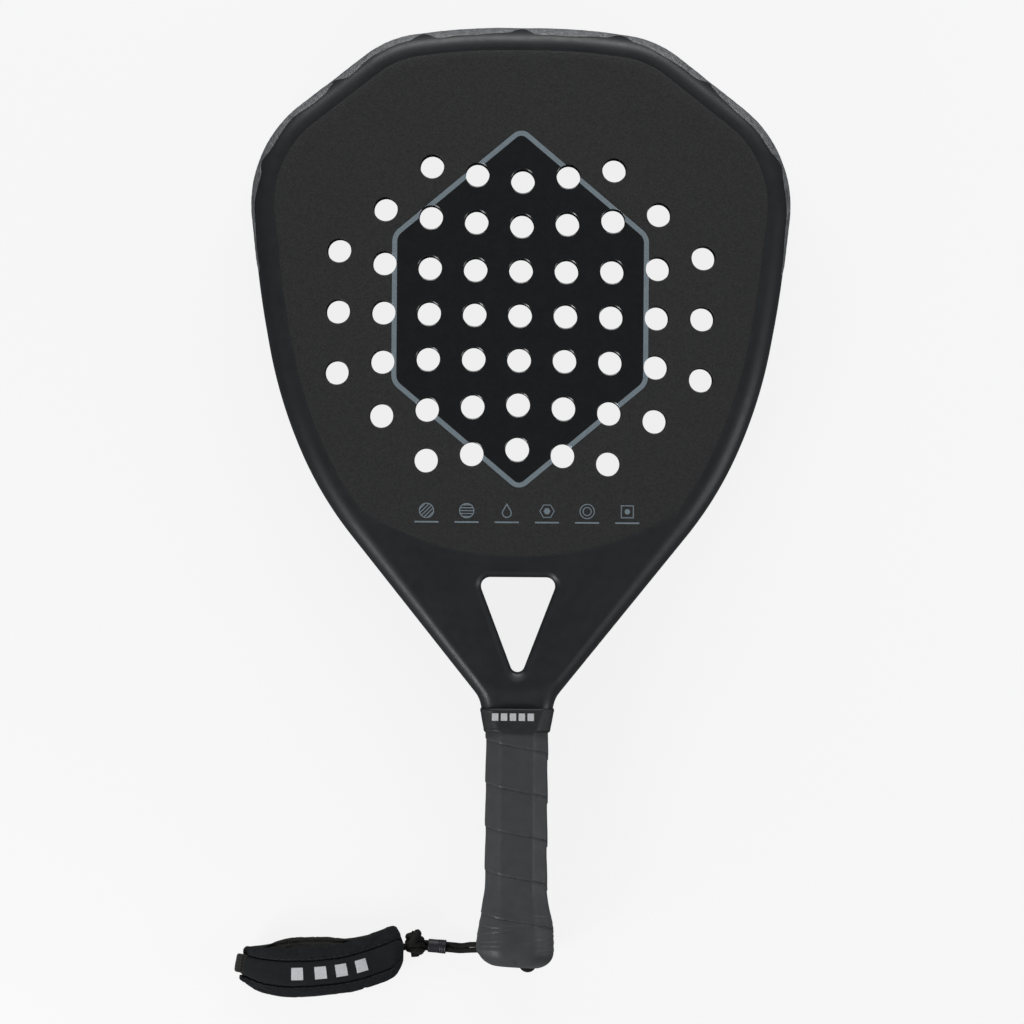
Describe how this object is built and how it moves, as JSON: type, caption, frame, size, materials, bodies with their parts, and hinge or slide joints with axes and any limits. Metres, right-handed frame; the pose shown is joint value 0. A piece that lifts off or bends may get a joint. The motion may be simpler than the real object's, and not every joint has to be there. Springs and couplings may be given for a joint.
{
  "type": "padel racket",
  "caption": "Flat-topped padel racket with a perforated head, open throat, wrapped octagonal handle and a padded wrist cuff on a doubled cord.",
  "frame": {"origin": "under the middle of the racket's length and width, on the plane of the back face that it lies on", "axes": "+X across the head to the right as seen from the front, +Y from the butt to the tip, +Z out of the front face"},
  "size_m": [0.2678, 0.4698, 0.038],
  "materials": {
    "frame": "satin painted carbon",
    "foam": "closed-cell foam",
    "core": "dark closed-cell foam",
    "face": "textured carbon",
    "guard": "rough film",
    "print_black": "gloss print",
    "print_silver": "silver print",
    "cap": "matte",
    "base_grip": "matte",
    "overgrip": "soft satin",
    "collar": "matte",
    "print_white": "flat print",
    "cord": "braided",
    "lock": "satin",
    "lining": "mesh",
    "cuff": "stretch knit"
  },
  "bodies": {
    "racket": {"frame_tube": "frame", "frame_filling": "foam", "throat_bridge": "frame", "core": "core", "front_face": "face", "back_face": "face", "edge_guard": "guard", "front_panel": "print_black", "front_line": "print_silver", "front_symbols": "print_silver", "back_panel": "print_black", "back_line": "print_silver", "handle_shell": "frame", "handle_filling": "foam", "butt_cap": "cap", "base_grip": "base_grip", "overgrip": "overgrip", "finishing_tape": "guard", "collar": "collar", "collar_print": "print_white", "cord_bight": "cord", "cord_strand_a": "cord", "cord_strand_b": "cord", "cord_knot": "cord", "cuff_cord": "cord", "cuff_padding": "foam", "cuff_lining": "lining", "cuff_cover": "cuff", "cuff_edge_front": "cuff", "cuff_edge_rear": "cuff", "cuff_tab": "lining", "cuff_print": "print_white"},
    "cord_lock": {"cord_lock": "lock"}
  },
  "joints": [
    {"name": "cord_lock_slide", "type": "slide", "parent": "racket", "child": "cord_lock", "axis": [0.997, -0.0776, 0], "range_m": [0, 0.008]}
  ]
}
